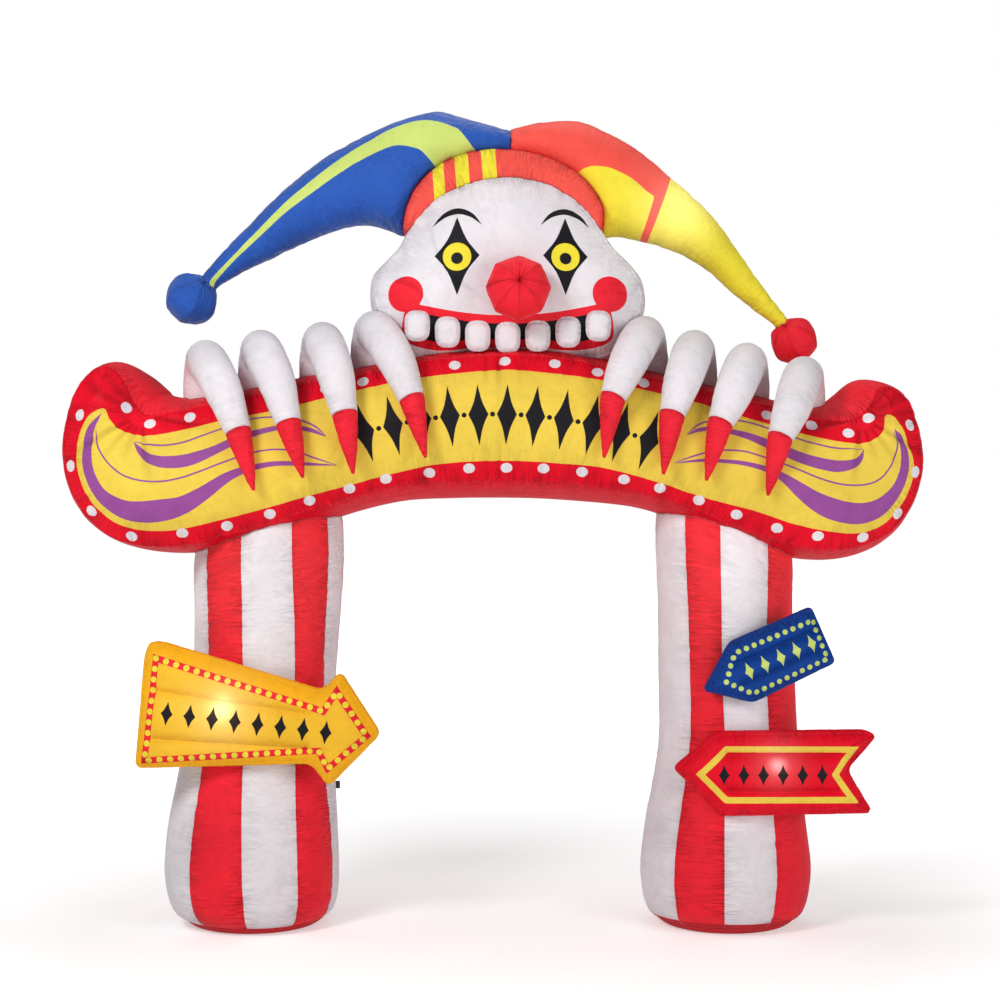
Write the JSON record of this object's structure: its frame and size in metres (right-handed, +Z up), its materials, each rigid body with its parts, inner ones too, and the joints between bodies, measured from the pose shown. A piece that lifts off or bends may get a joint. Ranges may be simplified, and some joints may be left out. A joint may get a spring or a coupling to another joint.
{
  "type": "inflatable archway",
  "caption": "Inflatable carnival archway: striped legs, a scroll-ended banner beam, a jester's head in a horned cap, gripping clawed fingers and stuffed pointing signs.",
  "frame": {"origin": "on the ground, under the middle of the whole arch's width and depth", "axes": "+Z up, the front with the face, claws and signs towards -Y, +X to the right of someone who faces the front"},
  "size_m": [3.8336, 1.0322, 3.6618],
  "materials": {
    "red_nylon": "semi-matt coated nylon taffeta",
    "white_nylon": "semi-matt coated nylon taffeta",
    "yellow_nylon": "semi-matt coated nylon taffeta",
    "blue_nylon": "semi-matt coated nylon taffeta",
    "orange_nylon": "semi-matt coated nylon taffeta",
    "black_webbing": "matt woven webbing"
  },
  "bodies": {
    "root": {"beam": "yellow_nylon", "head": "white_nylon", "hat_band": "red_nylon", "horn_left": "blue_nylon", "horn_right": "red_nylon", "ball_left": "blue_nylon", "ball_right": "red_nylon", "nose": "red_nylon", "leg_left": "white_nylon", "leg_right": "white_nylon", "sole_left": "red_nylon", "sole_right": "red_nylon", "sign_arrow": "orange_nylon", "sign_pointer": "blue_nylon", "sign_swallowtail": "red_nylon", "tether_tab": "black_webbing", "tooth_1": "white_nylon", "tooth_2": "white_nylon", "tooth_3": "white_nylon", "tooth_4": "white_nylon", "tooth_5": "white_nylon", "tooth_6": "white_nylon", "tooth_7": "white_nylon", "finger_left_1": "white_nylon", "claw_left_1": "red_nylon", "finger_left_2": "white_nylon", "claw_left_2": "red_nylon", "finger_left_3": "white_nylon", "claw_left_3": "red_nylon", "finger_left_4": "white_nylon", "claw_left_4": "red_nylon", "finger_right_1": "white_nylon", "claw_right_1": "red_nylon", "finger_right_2": "white_nylon", "claw_right_2": "red_nylon", "finger_right_3": "white_nylon", "claw_right_3": "red_nylon", "finger_right_4": "white_nylon", "claw_right_4": "red_nylon"}
  },
  "joints": []
}
